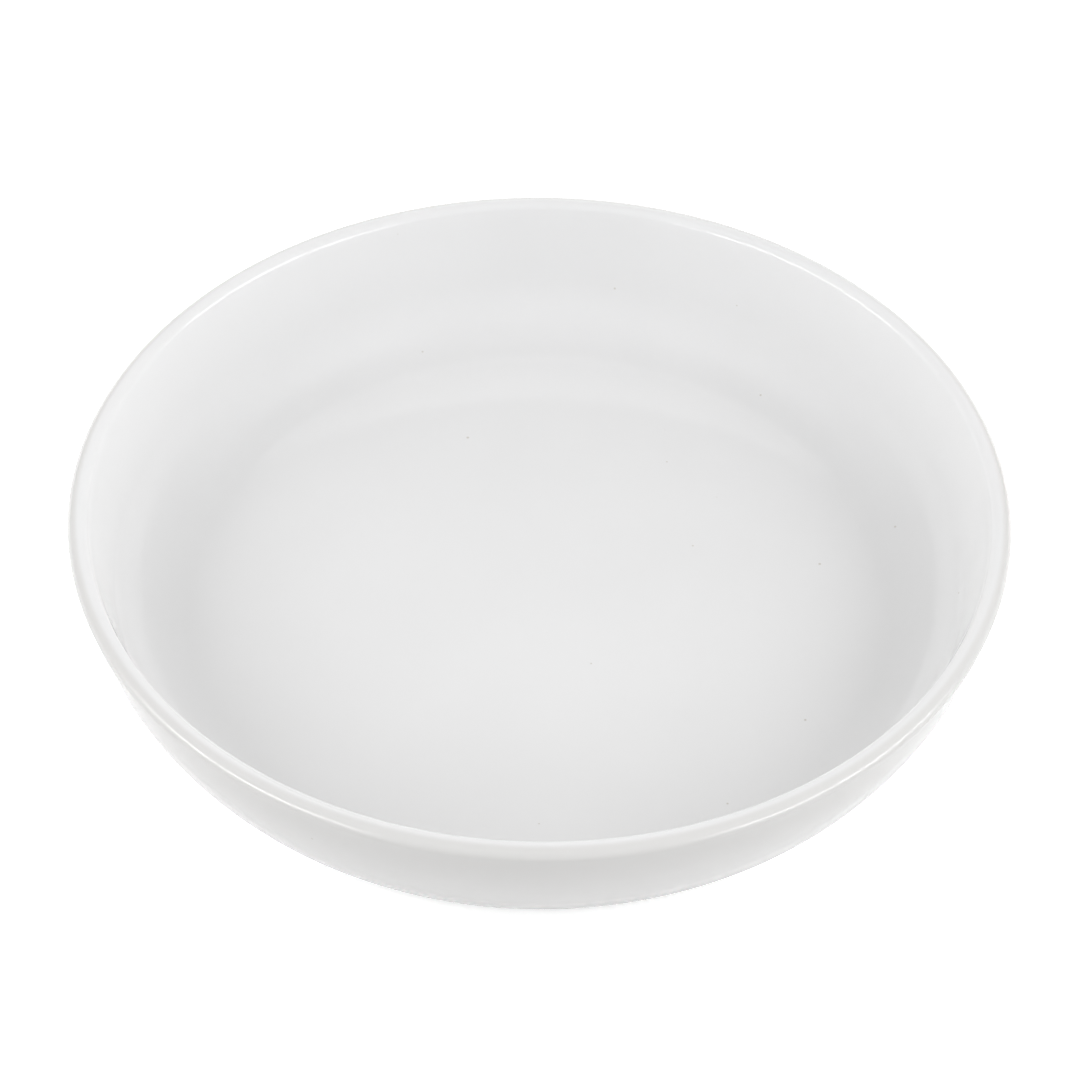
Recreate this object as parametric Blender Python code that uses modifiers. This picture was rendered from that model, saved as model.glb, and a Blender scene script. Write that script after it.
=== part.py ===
"""Shallow round evaporating dish in glazed porcelain, without a spout.

The dish is one fired shell, turned about +Z. The origin is the centre of the
foot's contact face, and lengths are in metres. Its section, from the inside:

    flat floor - round cove - straight leaning wall - full-round lip -
    straight leaning wall - long heel curve - narrow foot ring - recessed base

A lean is an angle from the vertical, so the wall stands at WALL_LEAN and the
floor lies at a quarter turn.
"""
import math

import bpy

# Driving dimensions
OUTER_RADIUS = 0.0750       # the lip's widest point
FLOOR_DEPTH = 0.0217        # inner floor, below the middle of the lip
WALL_THICKNESS = 0.0032     # upper wall, and the diameter of the round lip
FLOOR_THICKNESS = 0.0034    # floor, above the recessed base
WALL_LEAN = math.radians(14.0)

COVE_RADIUS = 0.0121        # inside, from the floor up to the wall
HEEL_RADIUS = 0.0356        # outside, from the wall down to the foot
HEEL_START_DEPTH = 0.0079   # where the outer wall starts to curve, below the lip

FOOT_HEIGHT = 0.0007        # how far the base is recessed inside the foot ring
FOOT_WIDTH = 0.0030         # flat contact face of the ring
FOOT_ROUNDING = 0.0015      # outer edge of the ring

# Heights that follow
FLOOR_TOP = FOOT_HEIGHT + FLOOR_THICKNESS
LIP_HEIGHT = FLOOR_TOP + FLOOR_DEPTH

# Facets
TURN_STEPS = 96
COVE_STEPS = 9
LIP_STEPS = 5               # a quarter of the round lip
HEEL_STEPS = 7
ROUNDING_STEPS = 3

AXIS_MERGE = 0.00001
SHARP_EDGE = math.radians(40.0)
QUARTER = math.pi / 2

GLAZE_COLOUR = (0.79, 0.79, 0.78, 1.0)
GLAZE_ROUGHNESS = 0.08


def clear_scene():
    """Remove every object, so that the script gives the same scene each run."""
    for old in list(bpy.data.objects):
        bpy.data.objects.remove(old, do_unlink=True)


def arc(centre, radius, start, end, steps):
    """Points (r, z) on a circle, by angle from +r, counter-clockwise positive."""
    points = []
    for i in range(steps + 1):
        angle = start + (end - start) * i / steps
        points.append((centre[0] + radius * math.cos(angle),
                       centre[1] + radius * math.sin(angle)))
    return points


def lip_centre():
    """Middle of the round lip, in the section."""
    return OUTER_RADIUS - WALL_THICKNESS / 2, LIP_HEIGHT


def wall_radius(height, offset):
    """Radius of the straight wall at a height, offset from its mid-surface."""
    centre_r, centre_z = lip_centre()
    drop = centre_z - height
    return centre_r - drop * math.tan(WALL_LEAN) + offset / math.cos(WALL_LEAN)


def inner_curve():
    """Floor centre, then the cove, tangent to the floor and to the inner wall."""
    centre_z = FLOOR_TOP + COVE_RADIUS
    centre_r = wall_radius(centre_z, -WALL_THICKNESS / 2 - COVE_RADIUS)
    cove = arc((centre_r, centre_z), COVE_RADIUS, -QUARTER, -WALL_LEAN, COVE_STEPS)
    return [(0.0, FLOOR_TOP)] + cove


def lip_curve():
    """Half round over the lip, with points on its crest and its widest place."""
    radius = WALL_THICKNESS / 2
    inner = arc(lip_centre(), radius, math.pi - WALL_LEAN, QUARTER, LIP_STEPS - 1)
    outer = arc(lip_centre(), radius, QUARTER, 0.0, LIP_STEPS)
    tuck = arc(lip_centre(), radius, 0.0, -WALL_LEAN, 1)
    return inner + outer[1:] + tuck[1:]


def heel_and_foot():
    """Outer wall's curve, the foot's rounded edge, its flat face and the base."""
    start_z = LIP_HEIGHT - HEEL_START_DEPTH
    start_r = wall_radius(start_z, WALL_THICKNESS / 2)
    heel_r = start_r - HEEL_RADIUS * math.cos(WALL_LEAN)
    heel_z = start_z + HEEL_RADIUS * math.sin(WALL_LEAN)

    # The rounding's circle touches the heel's circle from inside, and the ground.
    reach = HEEL_RADIUS - FOOT_ROUNDING
    heel_lean = math.asin((heel_z - FOOT_ROUNDING) / reach)
    round_r = heel_r + reach * math.cos(heel_lean)

    heel = arc((heel_r, heel_z), HEEL_RADIUS, -WALL_LEAN, -heel_lean, HEEL_STEPS)
    rounding = arc((round_r, FOOT_ROUNDING), FOOT_ROUNDING,
                   -heel_lean, -QUARTER, ROUNDING_STEPS)
    ring_inside = round_r - FOOT_WIDTH
    base = [(ring_inside, 0.0),
            (ring_inside - FOOT_HEIGHT, FOOT_HEIGHT),
            (0.0, FOOT_HEIGHT)]
    return heel + rounding[1:] + base


def glaze_material():
    material = bpy.data.materials.new("glazed_porcelain")
    material.use_nodes = True
    shader = material.node_tree.nodes["Principled BSDF"]
    shader.inputs["Base Color"].default_value = GLAZE_COLOUR
    shader.inputs["Roughness"].default_value = GLAZE_ROUGHNESS
    shader.inputs["Metallic"].default_value = 0.0
    material.diffuse_color = GLAZE_COLOUR
    return material


def turned_object(name, section, collection):
    """Sweep a section, drawn from axis to axis, round +Z with a Screw modifier."""
    mesh = bpy.data.meshes.new(name)
    edges = [(i, i + 1) for i in range(len(section) - 1)]
    mesh.from_pydata([(r, 0.0, z) for r, z in section], edges, [])

    turned = bpy.data.objects.new(name, mesh)
    collection.objects.link(turned)
    screw = turned.modifiers.new("turn", "SCREW")
    screw.axis = "Z"
    screw.angle = 2 * math.pi
    screw.steps = TURN_STEPS
    screw.render_steps = TURN_STEPS
    screw.use_merge_vertices = True
    screw.merge_threshold = AXIS_MERGE
    screw.use_smooth_shade = True
    return turned


def shade_round(turned):
    """Make the turned mesh real and shade it smooth, with the foot's edges kept."""
    graph = bpy.context.evaluated_depsgraph_get()
    mesh = bpy.data.meshes.new_from_object(turned.evaluated_get(graph))
    turned.modifiers.clear()
    turned.data = mesh
    mesh.name = turned.name
    mesh.shade_smooth()
    mesh.set_sharp_from_angle(angle=SHARP_EDGE)


def build_dish(collection):
    section = inner_curve() + lip_curve() + heel_and_foot()
    dish = turned_object("dish", section, collection)
    shade_round(dish)
    dish.data.materials.append(glaze_material())
    return dish


def main():
    clear_scene()
    collection = bpy.data.collections.new("evaporating_dish")
    bpy.context.scene.collection.children.link(collection)
    build_dish(collection)


main()
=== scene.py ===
"""Looks for the shallow porcelain evaporating dish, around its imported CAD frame.

The CAD node is one facetted shell. Here the same section is turned finely, pulled
a little out of round as firing does, and glazed all over but for the face that it
stands on. It rests on a plain pale floor in a room of soft lights. Lengths are in
metres.
"""
import math
from collections import namedtuple

import bpy
import numpy as np
from mathutils import Matrix, Vector, noise


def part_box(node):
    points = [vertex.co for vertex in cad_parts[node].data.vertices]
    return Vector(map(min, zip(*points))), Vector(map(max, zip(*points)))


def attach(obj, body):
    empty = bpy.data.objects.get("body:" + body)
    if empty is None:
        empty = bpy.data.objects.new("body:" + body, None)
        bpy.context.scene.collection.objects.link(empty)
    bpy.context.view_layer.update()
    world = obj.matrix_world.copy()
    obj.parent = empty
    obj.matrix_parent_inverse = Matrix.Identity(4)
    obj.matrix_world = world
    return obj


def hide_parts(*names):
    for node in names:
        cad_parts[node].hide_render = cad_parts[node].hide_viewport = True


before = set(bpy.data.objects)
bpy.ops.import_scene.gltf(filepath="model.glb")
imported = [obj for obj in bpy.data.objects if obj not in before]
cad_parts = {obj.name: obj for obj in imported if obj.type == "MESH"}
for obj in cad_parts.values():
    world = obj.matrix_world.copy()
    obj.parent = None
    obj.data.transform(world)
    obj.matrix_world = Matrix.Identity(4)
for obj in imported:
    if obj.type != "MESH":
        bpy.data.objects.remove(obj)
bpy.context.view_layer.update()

# The dish's section, as the CAD model has it
OUTER_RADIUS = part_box("dish")[1].x
TOTAL_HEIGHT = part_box("dish")[1].z
WALL_THICKNESS = 0.0032
LIP_HEIGHT = TOTAL_HEIGHT - WALL_THICKNESS / 2
FLOOR_DEPTH = 0.0217
FLOOR_TOP = LIP_HEIGHT - FLOOR_DEPTH
WALL_LEAN = math.radians(14.0)
COVE_RADIUS = 0.0121
HEEL_RADIUS = 0.0356
HEEL_START_DEPTH = 0.0079
FOOT_HEIGHT = 0.0007
FOOT_WIDTH = 0.0030
FOOT_ROUNDING = 0.0015
QUARTER = math.pi / 2

# The bare face that the dish stood on in the kiln
GLAZE_EDGE = 0.0004         # height where the glaze stops
GLAZE_THICKNESS = 0.00012
BARE_TOP = 0.00024          # the bare face's arcs stay below this height
SLACK = 0.00001

# What firing does to a round form
OVAL = 0.0014               # of the radius, inwards, across the narrow way
THREE_SIDED = 0.0012
OVAL_TURN = math.radians(-15.0)
THREE_SIDED_TURN = math.radians(-52.0)
PULL_POWER = 1.5            # how fast the pull grows from the foot to the lip
LIP_SAG = 0.00015           # how far the lip dips, at most
LIP_SAG_TURN = math.radians(40.0)
SWELL_LENGTH = 0.045        # slow waves in the glazed face
SWELL_DEPTH = 0.00002
RIPPLE_LENGTH = 0.011
RIPPLE_DEPTH = 0.000003

# How fine the visible mesh is
TURN_STEPS = 640
FLOOR_RINGS = 12
COVE_STEPS = 24
WALL_RINGS = 6
LIP_STEPS = 22
HEEL_STEPS = 36
ROUNDING_STEPS = 6
EDGE_STEPS = 4
FOOT_STEPS = 6
SHARP_EDGE = math.radians(50.0)


# Section: points (r, z), from the axis above the floor to the axis below it

def arc(centre, radius, start, end, steps):
    """Points on a circle, by angle from +r, counter-clockwise positive."""
    angles = [start + (end - start) * i / steps for i in range(steps + 1)]
    return [(centre[0] + radius * math.cos(a), centre[1] + radius * math.sin(a))
            for a in angles]


def line(start, end, steps):
    """Points between two ends, without the ends."""
    return [(start[0] + (end[0] - start[0]) * i / steps,
             start[1] + (end[1] - start[1]) * i / steps) for i in range(1, steps)]


def lip_centre():
    """Middle of the round lip, in the section."""
    return OUTER_RADIUS - WALL_THICKNESS / 2, LIP_HEIGHT


def wall_radius(height, offset):
    """Radius of the straight wall at a height, offset from its mid-surface."""
    centre_r, centre_z = lip_centre()
    drop = centre_z - height
    return centre_r - drop * math.tan(WALL_LEAN) + offset / math.cos(WALL_LEAN)


def inner_points():
    """From the floor's centre to the top of the cove."""
    centre_z = FLOOR_TOP + COVE_RADIUS
    centre_r = wall_radius(centre_z, -WALL_THICKNESS / 2 - COVE_RADIUS)
    cove = arc((centre_r, centre_z), COVE_RADIUS, -QUARTER, -WALL_LEAN, COVE_STEPS)
    centre = (0.0, FLOOR_TOP)
    return [centre] + line(centre, cove[0], FLOOR_RINGS) + cove


def lip_points():
    """Half round over the lip, from the inner wall to the outer one."""
    return arc(lip_centre(), WALL_THICKNESS / 2,
               math.pi - WALL_LEAN, -WALL_LEAN, LIP_STEPS)


def foot_centre():
    """Heel's centre, the lean where the heel meets the foot's rounding, and the
    rounding's centre."""
    start_z = LIP_HEIGHT - HEEL_START_DEPTH
    start_r = wall_radius(start_z, WALL_THICKNESS / 2)
    heel = (start_r - HEEL_RADIUS * math.cos(WALL_LEAN),
            start_z + HEEL_RADIUS * math.sin(WALL_LEAN))
    reach = HEEL_RADIUS - FOOT_ROUNDING
    lean = math.asin((heel[1] - FOOT_ROUNDING) / reach)
    return heel, lean, (heel[0] + reach * math.cos(lean), FOOT_ROUNDING)


def glazed_heel():
    """From the top of the heel's curve to the glaze's rounded edge above the ground."""
    heel, lean, rounding = foot_centre()
    stop = math.asin(1 - GLAZE_EDGE / FOOT_ROUNDING)
    wall = arc(heel, HEEL_RADIUS, -WALL_LEAN, -lean, HEEL_STEPS)
    turn = arc(rounding, FOOT_ROUNDING, -lean, -stop, ROUNDING_STEPS)
    return wall + turn[1:] + glaze_edge(rounding, FOOT_ROUNDING, -stop, -1)


def glaze_edge(centre, radius, angle, way):
    """The glaze's edge, which curls down onto the bare body along an arc of it."""
    middle = radius - GLAZE_THICKNESS
    out = (math.cos(angle), math.sin(angle))
    along = (-out[1] * way, out[0] * way)
    points = []
    for i in range(1, EDGE_STEPS + 1):
        a = QUARTER * i / EDGE_STEPS
        lift = middle + GLAZE_THICKNESS * math.cos(a)
        slide = GLAZE_THICKNESS * math.sin(a)
        points.append((centre[0] + out[0] * lift + along[0] * slide,
                       centre[1] + out[1] * lift + along[1] * slide))
    return points


def bare_foot():
    """The unglazed face between the two edges of the glaze."""
    centre_r = foot_centre()[2][0]
    inside = centre_r - FOOT_WIDTH
    stop = math.asin(1 - GLAZE_EDGE / FOOT_ROUNDING)
    outer = arc((centre_r - GLAZE_THICKNESS, FOOT_ROUNDING), FOOT_ROUNDING,
                -stop, -QUARTER, ROUNDING_STEPS)
    rise = math.asin(1 - GLAZE_EDGE / FOOT_HEIGHT)
    inner = arc((inside + GLAZE_THICKNESS, FOOT_HEIGHT), FOOT_HEIGHT,
                -QUARTER, -math.pi + rise, ROUNDING_STEPS)
    outer = [p for p in outer if p[1] < BARE_TOP]
    inner = [p for p in inner if p[1] < BARE_TOP]
    return outer + line(outer[-1], inner[0], FOOT_STEPS) + inner


def recess():
    """From the glaze's inner edge, up the foot's inner side and across the base."""
    inside = foot_centre()[2][0] - FOOT_WIDTH
    centre = (inside, FOOT_HEIGHT)
    rise = math.asin(1 - GLAZE_EDGE / FOOT_HEIGHT)
    edge = glaze_edge(centre, FOOT_HEIGHT, -math.pi + rise, 1)
    side = arc(centre, FOOT_HEIGHT, -math.pi + rise, -math.pi, ROUNDING_STEPS)
    middle = (0.0, FOOT_HEIGHT)
    return edge[::-1] + side + line(side[-1], middle, FLOOR_RINGS) + [middle]


def section():
    """The whole outline, and the first and last places on it of the bare foot."""
    inside, lip, outside = inner_points(), lip_points(), glazed_heel()
    points = (inside + line(inside[-1], lip[0], WALL_RINGS) + lip
              + line(lip[-1], outside[0], WALL_RINGS) + outside)
    first = len(points)
    points += bare_foot()
    last = len(points) - 1
    return points + recess(), first, last


# Mesh

def fired_form(r, z, around):
    """How firing pulls the turned shape: slightly oval, slightly three-sided, and the
    lip a little low on two sides. It only ever pulls in, and less towards the foot."""
    share = (z / TOTAL_HEIGHT) ** PULL_POWER
    oval = OVAL * (1 - np.cos(2 * (around - OVAL_TURN))) / 2
    sides = THREE_SIDED * (1 - np.cos(3 * (around - THREE_SIDED_TURN))) / 2
    sag = LIP_SAG * (1 - np.cos(2 * (around - LIP_SAG_TURN))) / 2
    return r * (1 - share * (oval + sides)), z * (1 - share * sag / TOTAL_HEIGHT)


def swell(point):
    """Depth of the glazed face's slow waves at a point, always inwards."""
    slow = noise.noise(point / SWELL_LENGTH) - 1
    quick = noise.noise(point / RIPPLE_LENGTH) - 1
    return SWELL_DEPTH * slow + RIPPLE_DEPTH * quick


def turned_mesh(name, points, steps):
    """Mesh of revolution about +Z, from a section drawn from axis to axis."""
    around = np.arange(steps) * 2 * math.pi / steps
    rings = np.array(points[1:-1])
    r, z = fired_form(rings[:, 0:1], rings[:, 1:2], around)
    grid = np.stack([r * np.cos(around), r * np.sin(around), z], axis=-1).reshape(-1, 3)
    top = (0.0, 0.0, points[0][1])
    bottom = (0.0, 0.0, points[-1][1])
    verts = [tuple(v) for v in grid] + [top, bottom]
    count = len(rings)

    faces = []
    for k in range(steps):
        n = (k + 1) % steps
        faces.append((count * steps, k, n))
        for i in range(count - 1):
            a, b = i * steps, (i + 1) * steps
            faces.append((a + k, b + k, b + n, a + n))
        last = (count - 1) * steps
        faces.append((last + n, last + k, count * steps + 1))

    mesh = bpy.data.meshes.new(name)
    mesh.from_pydata(verts, [], faces)
    mesh.update()
    return mesh


def wave_surface(mesh, lowest):
    """Push every point above a height in by the slow waves of the glaze."""
    normals = [v.normal.copy() for v in mesh.vertices]
    for vertex, normal in zip(mesh.vertices, normals):
        if vertex.co.z > lowest:
            vertex.co += normal * swell(vertex.co)
    mesh.update()


# Materials

NOISE_RANGE = 0.3, 0.7      # the part of a noise's range that is stretched out


def new_material(name):
    """A material with only its output, and its nodes and links."""
    material = bpy.data.materials.new(name)
    material.use_nodes = True
    nodes = material.node_tree.nodes
    for node in [n for n in nodes if n.type != "OUTPUT_MATERIAL"]:
        nodes.remove(node)
    return material, nodes, material.node_tree.links


def math_node(nodes, links, operation, *values):
    """A Math node. Each value is a number or a socket; returns its output."""
    node = nodes.new("ShaderNodeMath")
    node.operation = operation
    for socket, value in zip(node.inputs, values):
        if isinstance(value, (int, float)):
            socket.default_value = value
        else:
            links.new(value, socket)
    return node.outputs[0]


def noise_node(nodes, links, place, length, detail=2.0):
    """Noise of about 0 to 1 with the given wavelength."""
    node = nodes.new("ShaderNodeTexNoise")
    node.inputs["Scale"].default_value = 1 / length
    node.inputs["Detail"].default_value = detail
    links.new(place, node.inputs["Vector"])
    return node.outputs["Fac"]


def fade(nodes, links, value, start, end, low=0.0, high=1.0):
    """Smooth step of a value from low at start to high at end."""
    node = nodes.new("ShaderNodeMapRange")
    node.interpolation_type = "SMOOTHSTEP"
    links.new(value, node.inputs["Value"])
    node.inputs["From Min"].default_value = start
    node.inputs["From Max"].default_value = end
    node.inputs["To Min"].default_value = low
    node.inputs["To Max"].default_value = high
    return node.outputs["Result"]


def colour_mix(nodes, links, share, first, second):
    """Mix of two colours, each a tuple or a socket, by a share of 0 to 1."""
    node = nodes.new("ShaderNodeMix")
    node.data_type = "RGBA"
    links.new(share, node.inputs[0])
    for socket, value in ((node.inputs[6], first), (node.inputs[7], second)):
        if isinstance(value, tuple):
            socket.default_value = (*value, 1.0)
        else:
            links.new(value, socket)
    return node.outputs[2]


def vector_node(nodes, operation):
    """A Vector Math node, without its links."""
    node = nodes.new("ShaderNodeVectorMath")
    node.operation = operation
    return node


def bump_node(nodes, links, height, distance):
    """Normal of a face that a height raises by up to a distance."""
    node = nodes.new("ShaderNodeBump")
    node.inputs["Distance"].default_value = distance
    links.new(height, node.inputs["Height"])
    return node.outputs[0]


# Iron specks: their spacing, mean size, share of the places that have one, colour,
# and how their sizes spread
SPECK_SPACING = 0.0042
SPECK_SIZE = 0.0005
SPECK_SHARE = 0.11
SPECK_SMALLEST, SPECK_SPREAD = 0.7, 0.6
IRON_COLOUR = (0.66, 0.64, 0.60)


def specks(nodes, links, place):
    """Small round spots, 1 inside and 0 outside, in a few cells of a 3-D grid."""
    cells = nodes.new("ShaderNodeTexVoronoi")
    cells.inputs["Scale"].default_value = 1 / SPECK_SPACING
    links.new(place, cells.inputs["Vector"])
    draws = nodes.new("ShaderNodeSeparateColor")
    links.new(cells.outputs["Color"], draws.inputs[0])
    chosen = math_node(nodes, links, "LESS_THAN", draws.outputs[0], SPECK_SHARE)
    size = math_node(nodes, links, "MULTIPLY_ADD", draws.outputs[1],
                     SPECK_SPREAD, SPECK_SMALLEST)
    reach = math_node(nodes, links, "DIVIDE", cells.outputs["Distance"], size)
    radius = SPECK_SIZE / SPECK_SPACING / 2
    spot = fade(nodes, links, reach, radius, radius / 2)
    return math_node(nodes, links, "MULTIPLY", spot, chosen)


# The glazed body, with painted shade and light on its outside
INSIDE_COLOUR = (0.833, 0.832, 0.831)
OUTSIDE_HIGH_PAINTED_SHADE = (0.750, 0.743, 0.730)    # painted shade, high up under the lip
OUTSIDE_LOW = (0.854, 0.849, 0.839)
PAINTED_SHADE_HEIGHTS = 0.024, 0.012               # heights over which the painted shade gives way to the lighter colour low down
OUTWARD = 0.02, 0.06                    # place . normal, from inner to outer faces
MOTTLE_LENGTH = 0.028
MOTTLE_DARKEST = 0.985
GLAZE_IOR = 1.5
GLAZE_ROUGHNESS = 0.045
GLOSS_LENGTH = 0.009
SMOOTHER, ROUGHER = 0.01, 0.015         # how far the roughness strays
LIP_DULLING = 0.20                      # added on the lip, where the glaze is thin
LIP_DULL_DEPTH = 0.003                  # and down to this far below its middle
PEEL_LENGTH = 0.0022
PEEL_DEPTH = 0.000002
PIT_DEPTH = 3.0                         # of a speck, in peel depths


def body_colour_and_painted_shade(nodes, links, place, height):
    """Painted shade and light outside: a shade darker high up under the lip, whiter low
    down; neutral inside.
    """
    normal = nodes.new("ShaderNodeNewGeometry").outputs["Normal"]
    outward = vector_node(nodes, "DOT_PRODUCT")
    links.new(place, outward.inputs[0])
    links.new(normal, outward.inputs[1])
    # The outside's painted shade: dark under the lip, light low down
    outside = colour_mix(nodes, links, fade(nodes, links, height, *PAINTED_SHADE_HEIGHTS),
                         OUTSIDE_HIGH_PAINTED_SHADE, OUTSIDE_LOW)
    body = colour_mix(nodes, links,
                      fade(nodes, links, outward.outputs["Value"], *OUTWARD),
                      INSIDE_COLOUR, outside)
    mottle = fade(nodes, links, noise_node(nodes, links, place, MOTTLE_LENGTH),
                  *NOISE_RANGE, MOTTLE_DARKEST, 1.0)
    tone = vector_node(nodes, "SCALE")
    links.new(body, tone.inputs[0])
    links.new(mottle, tone.inputs["Scale"])
    return tone.outputs[0]


def glaze_roughness(nodes, links, place, height):
    """Smooth with slow changes, and duller on the lip."""
    gloss = fade(nodes, links, noise_node(nodes, links, place, GLOSS_LENGTH),
                 *NOISE_RANGE, GLAZE_ROUGHNESS - SMOOTHER, GLAZE_ROUGHNESS + ROUGHER)
    worn = fade(nodes, links, height, LIP_HEIGHT - LIP_DULL_DEPTH, LIP_HEIGHT,
                0.0, LIP_DULLING)
    return math_node(nodes, links, "ADD", gloss, worn)


def glaze_material():
    """White porcelain under clear glaze: a very slightly mottled body, a few iron
    specks, and a face that is smooth but never quite flat."""
    material, nodes, links = new_material("glazed_porcelain")
    place = nodes.new("ShaderNodeTexCoord").outputs["Object"]
    split = nodes.new("ShaderNodeSeparateXYZ")
    links.new(place, split.inputs[0])
    height = split.outputs[2]
    iron = specks(nodes, links, place)
    colour = colour_mix(nodes, links, iron, body_colour_and_painted_shade(nodes, links, place, height),
                        IRON_COLOUR)
    peel = noise_node(nodes, links, place, PEEL_LENGTH, 1.0)
    pits = math_node(nodes, links, "MULTIPLY", iron, PIT_DEPTH)
    face = math_node(nodes, links, "SUBTRACT", peel, pits)

    shader = nodes.new("ShaderNodeBsdfPrincipled")
    shader.inputs["IOR"].default_value = GLAZE_IOR
    links.new(colour, shader.inputs["Base Color"])
    links.new(glaze_roughness(nodes, links, place, height), shader.inputs["Roughness"])
    links.new(bump_node(nodes, links, face, PEEL_DEPTH), shader.inputs["Normal"])
    links.new(shader.outputs[0], nodes["Material Output"].inputs["Surface"])
    return material


# The unglazed body
BARE_COLOURS = (0.74, 0.71, 0.65), (0.80, 0.78, 0.73)
BARE_ROUGHNESS = 0.65, 0.85
PATCH_LENGTH = 0.004
GRAIN_LENGTH = 0.0003
GRAIN_DEPTH = 0.00002


def bare_material():
    """Unglazed porcelain, ground smooth: dull, warmer and finely grained."""
    material, nodes, links = new_material("bare_porcelain")
    place = nodes.new("ShaderNodeTexCoord").outputs["Object"]
    patches = fade(nodes, links, noise_node(nodes, links, place, PATCH_LENGTH, 3.0),
                   *NOISE_RANGE)
    grain = noise_node(nodes, links, place, GRAIN_LENGTH, 4.0)
    shader = nodes.new("ShaderNodeBsdfPrincipled")
    links.new(colour_mix(nodes, links, patches, *BARE_COLOURS), shader.inputs["Base Color"])
    links.new(fade(nodes, links, grain, *NOISE_RANGE, *BARE_ROUGHNESS),
              shader.inputs["Roughness"])
    links.new(bump_node(nodes, links, grain, GRAIN_DEPTH), shader.inputs["Normal"])
    links.new(shader.outputs[0], nodes["Material Output"].inputs["Surface"])
    return material


# The floor as it lights the dish, as it shows in the glaze, and as the camera
# sees it: a paper white, lifted by a little light of its own
FLOOR_COLOUR = (0.54, 0.54, 0.54)
FLOOR_REFLECTED = (1.35, 1.35, 1.35)
FLOOR_SEEN = (0.95, 0.95, 0.95)
FLOOR_LIFT = 0.42


def floor_material():
    """A plain pale floor, with a tone for each kind of ray."""
    material, nodes, links = new_material("studio_floor")
    path = nodes.new("ShaderNodeLightPath")
    seen = path.outputs["Is Camera Ray"]
    shader = nodes.new("ShaderNodeBsdfDiffuse")
    colour = colour_mix(nodes, links, path.outputs["Is Glossy Ray"],
                        FLOOR_COLOUR, FLOOR_REFLECTED)
    colour = colour_mix(nodes, links, seen, colour, FLOOR_SEEN)
    links.new(colour, shader.inputs["Color"])
    lift = nodes.new("ShaderNodeEmission")
    links.new(math_node(nodes, links, "MULTIPLY", seen, FLOOR_LIFT), lift.inputs["Strength"])
    both = nodes.new("ShaderNodeAddShader")
    links.new(shader.outputs[0], both.inputs[0])
    links.new(lift.outputs[0], both.inputs[1])
    links.new(both.outputs[0], nodes["Material Output"].inputs["Surface"])
    return material


# The dish

def bare_faces(mesh, first, last):
    """Faces of the foot between two points of the section, its first and last bare ones."""
    top = first[1] + GLAZE_THICKNESS / 2
    innermost = last[0] - SLACK
    return [face for face in mesh.polygons
            if all(mesh.vertices[i].co.z < top for i in face.vertices)
            and math.hypot(*mesh.vertices[face.vertices[0]].co.xy) > innermost]


def build_dish():
    """The one piece: glazed all over, with a bare foot in its second material."""
    points, first_bare, last_bare = section()
    mesh = turned_mesh("glazed_dish", points, TURN_STEPS)
    wave_surface(mesh, 2 * GLAZE_EDGE)
    mesh.materials.append(glaze_material())
    mesh.materials.append(bare_material())
    for face in bare_faces(mesh, points[first_bare], points[last_bare]):
        face.material_index = 1
    mesh.shade_smooth()
    mesh.set_sharp_from_angle(angle=SHARP_EDGE)
    dish = bpy.data.objects.new("glazed_dish", mesh)
    bpy.context.scene.collection.objects.link(dish)
    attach(dish, "root")
    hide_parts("dish")


# Studio

CAMERA_ELEVATION = math.radians(44.82)
CAMERA_ROLL = math.radians(0.6)
CAMERA_DISTANCE = 8.0       # outer radii, to the middle of the lip's plane
LENS = 125.4                # mm
SENSOR = 36.0               # mm
CLIP = 0.01, 50.0
LIP_ABOVE_CENTRE = 0.0359   # of the frame's width
FLOOR_HALF = 6.0
FLOOR_DROP = 0.0001         # so that the foot's face and the floor never coincide


def build_camera():
    """A long lens that looks down on the dish from the front."""
    data = bpy.data.cameras.new("studio_camera")
    data.sensor_width = SENSOR
    data.lens = LENS
    data.clip_start, data.clip_end = CLIP
    camera = bpy.data.objects.new("studio_camera", data)
    bpy.context.scene.collection.objects.link(camera)

    back = Vector((0, -math.cos(CAMERA_ELEVATION), math.sin(CAMERA_ELEVATION)))
    right = Vector((1, 0, 0))
    up = back.cross(right)
    turn = Matrix((right, up, back)).transposed() @ Matrix.Rotation(CAMERA_ROLL, 3, "Z")
    tilt = LIP_ABOVE_CENTRE * SENSOR / LENS
    ray = (turn @ Vector((0.0, tilt, -1.0))).normalized()
    target = Vector((0, 0, LIP_HEIGHT))
    place = target - ray * CAMERA_DISTANCE * OUTER_RADIUS
    camera.matrix_world = Matrix.Translation(place) @ turn.to_4x4()
    bpy.context.scene.camera = camera


def build_floor():
    """A square of floor that fills the view."""
    mesh = bpy.data.meshes.new("studio_floor")
    corners = [(x * FLOOR_HALF, y * FLOOR_HALF, 0)
               for x, y in ((-1, -1), (1, -1), (1, 1), (-1, 1))]
    mesh.from_pydata(corners, [], [(0, 1, 2, 3)])
    floor = bpy.data.objects.new("studio_floor", mesh)
    floor.location.z = -FLOOR_DROP
    bpy.context.scene.collection.objects.link(floor)
    mesh.materials.append(floor_material())


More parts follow.
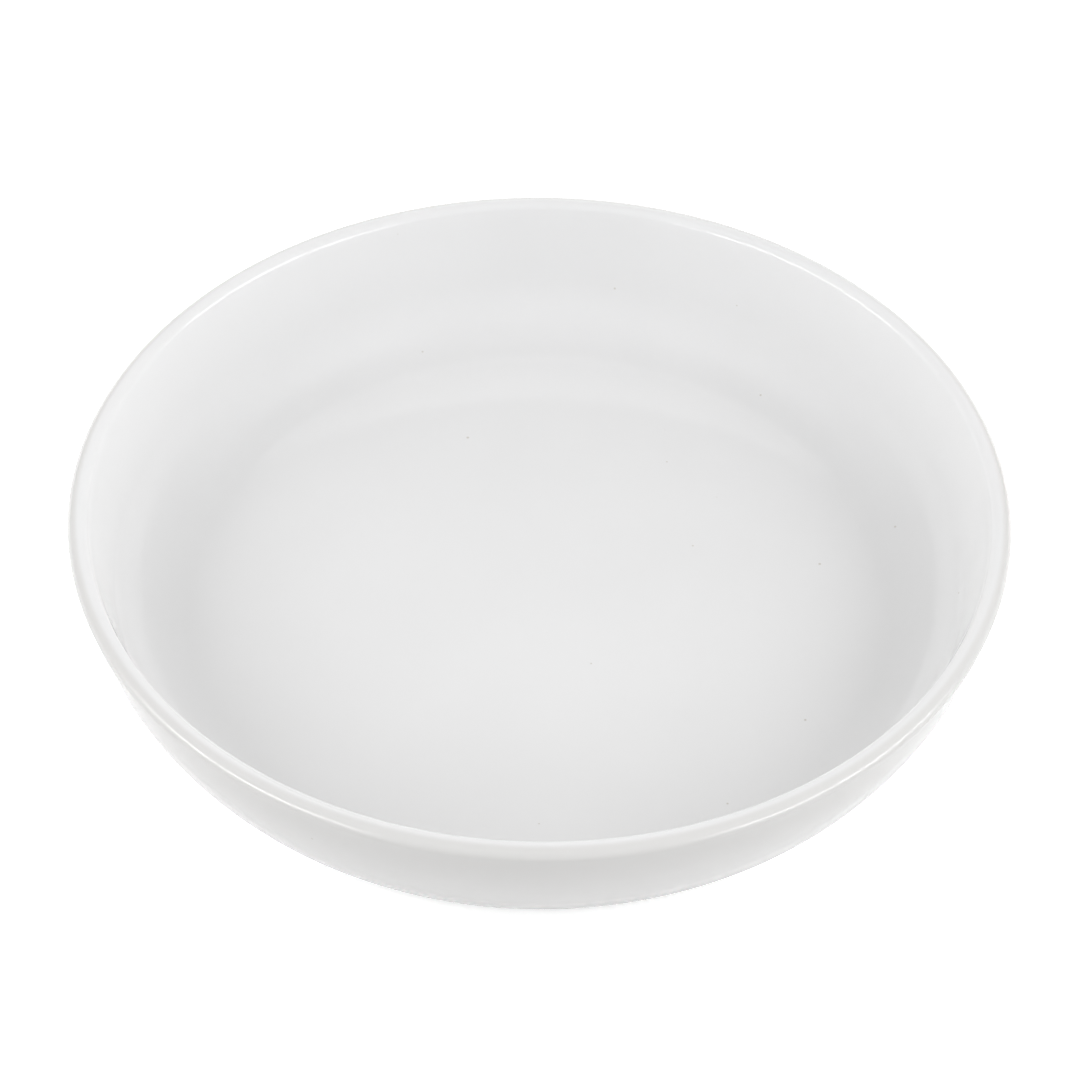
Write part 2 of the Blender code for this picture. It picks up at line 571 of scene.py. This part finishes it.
# Soft lights in the room round the dish: bearing clockwise from +Y, height above
# the horizon and half widths across and up, all in degrees; how square the edge is;
# radiance as it lights and as it shows in reflections; and colour. A light of less
# than nothing is a dark part of the room.
Light = namedtuple("Light", "name bearing height wide tall edge lit seen tint")
WHITE = (1.0, 1.0, 1.0)
COOL = (1.0, 1.01, 1.03)
LIGHTS = [
    Light("right box", 107, 47, 23, 14, 2, 2.15, 0.20, WHITE),
    Light("left box", -109, 48, 23, 15, 2, 2.15, 0.20, WHITE),
    Light("right reflector", 94, 3, 17, 6, 2, 2.9, 0.30, WHITE),
    Light("left reflector", -95, 3, 17, 6, 2, 2.9, 0.30, WHITE),
    Light("right strip", 117, 3.3, 26, 3.3, 8, 0.0, 17.0, WHITE),
    Light("left strip", -117, 3.3, 27, 3.3, 8, 0.0, 17.0, WHITE),
    Light("backdrop", 8, 13, 46, 11, 2, 1.5, 0.1, WHITE),
    Light("window", 177, 27, 28, 8, 2, 2.2, 0.1, COOL),
    Light("dark right corner", 129, 7, 19, 12, 2, -1.2, -0.1, WHITE),
    Light("dark left corner", -129, 10, 20, 11, 2, -1.2, -0.1, WHITE),
    Light("dark above the camera", 181, 53, 26, 11, 2, -1.0, -0.1, WHITE),
    Light("dark room behind", 0, 40, 80, 38, 6, 0.0, -0.58, WHITE),
]
# The room without them, at the sides and overhead: as it lights, and in reflections
ROOM_LIGHT, ROOM_CEILING = 0.735, 0.10
SEEN_LIGHT, SEEN_CEILING = 0.79, 0.24
CEILING_START, CEILING_END = 46.0, 76.0
DARKEST = (0.02, 0.02, 0.02)
ROOM_SEEN = (1.0, 1.0, 1.0)     # what the camera sees past the floor
HALF_TURN = 180.0


def soft_light(nodes, links, total, bearing, height, strength, light):
    """The room's radiance with one soft light added to it."""
    around = math_node(nodes, links, "WRAP",
                       math_node(nodes, links, "SUBTRACT", bearing, light.bearing),
                       HALF_TURN, -HALF_TURN)
    upward = math_node(nodes, links, "SUBTRACT", height, light.height)
    reach = [math_node(nodes, links, "POWER",
                       math_node(nodes, links, "ABSOLUTE",
                                 math_node(nodes, links, "DIVIDE", offset, half)),
                       light.edge)
             for offset, half in ((around, light.wide), (upward, light.tall))]
    both = math_node(nodes, links, "ADD", *reach)
    falloff = math_node(nodes, links, "EXPONENT",
                        math_node(nodes, links, "MULTIPLY", both, -0.5))
    glow = vector_node(nodes, "SCALE")
    glow.label = light.name
    glow.inputs[0].default_value = [strength * c for c in light.tint]
    links.new(falloff, glow.inputs["Scale"])
    added = vector_node(nodes, "ADD")
    links.new(total, added.inputs[0])
    links.new(glow.outputs[0], added.inputs[1])
    return added.outputs[0]


def room_light(nodes, links, bearing, height, side, ceiling, strengths):
    """Radiance of the room by bearing and height above the horizon, in degrees."""
    plain = fade(nodes, links, height, CEILING_START, CEILING_END, side, ceiling)
    grey = nodes.new("ShaderNodeCombineXYZ")
    for socket in grey.inputs:
        links.new(plain, socket)
    total = grey.outputs[0]
    for light, strength in zip(LIGHTS, strengths):
        if strength:
            total = soft_light(nodes, links, total, bearing, height, strength, light)
    darkest = vector_node(nodes, "MAXIMUM")
    darkest.inputs[1].default_value = DARKEST
    links.new(total, darkest.inputs[0])
    return darkest.outputs[0]


def build_lights():
    """The world: one room that lights the dish, and one that shows in its glaze."""
    world = bpy.data.worlds.new("studio")
    bpy.context.scene.world = world
    world.use_nodes = True
    nodes, links = world.node_tree.nodes, world.node_tree.links
    split = nodes.new("ShaderNodeSeparateXYZ")
    links.new(nodes.new("ShaderNodeTexCoord").outputs["Generated"], split.inputs[0])
    east, north, upward = split.outputs
    degree = HALF_TURN / math.pi
    height = math_node(nodes, links, "MULTIPLY",
                       math_node(nodes, links, "ARCSINE", upward), degree)
    bearing = math_node(nodes, links, "MULTIPLY",
                        math_node(nodes, links, "ARCTAN2", east, north), degree)
    lit = room_light(nodes, links, bearing, height, ROOM_LIGHT, ROOM_CEILING,
                     [light.lit for light in LIGHTS])
    reflected = room_light(nodes, links, bearing, height, SEEN_LIGHT, SEEN_CEILING,
                           [light.seen for light in LIGHTS])
    path = nodes.new("ShaderNodeLightPath")
    colour = colour_mix(nodes, links, path.outputs["Is Glossy Ray"], lit, reflected)
    colour = colour_mix(nodes, links, path.outputs["Is Camera Ray"], colour, ROOM_SEEN)
    links.new(colour, nodes["Background"].inputs["Color"])


build_dish()
build_camera()
build_floor()
build_lights()
bpy.context.scene.view_settings.view_transform = "Standard"
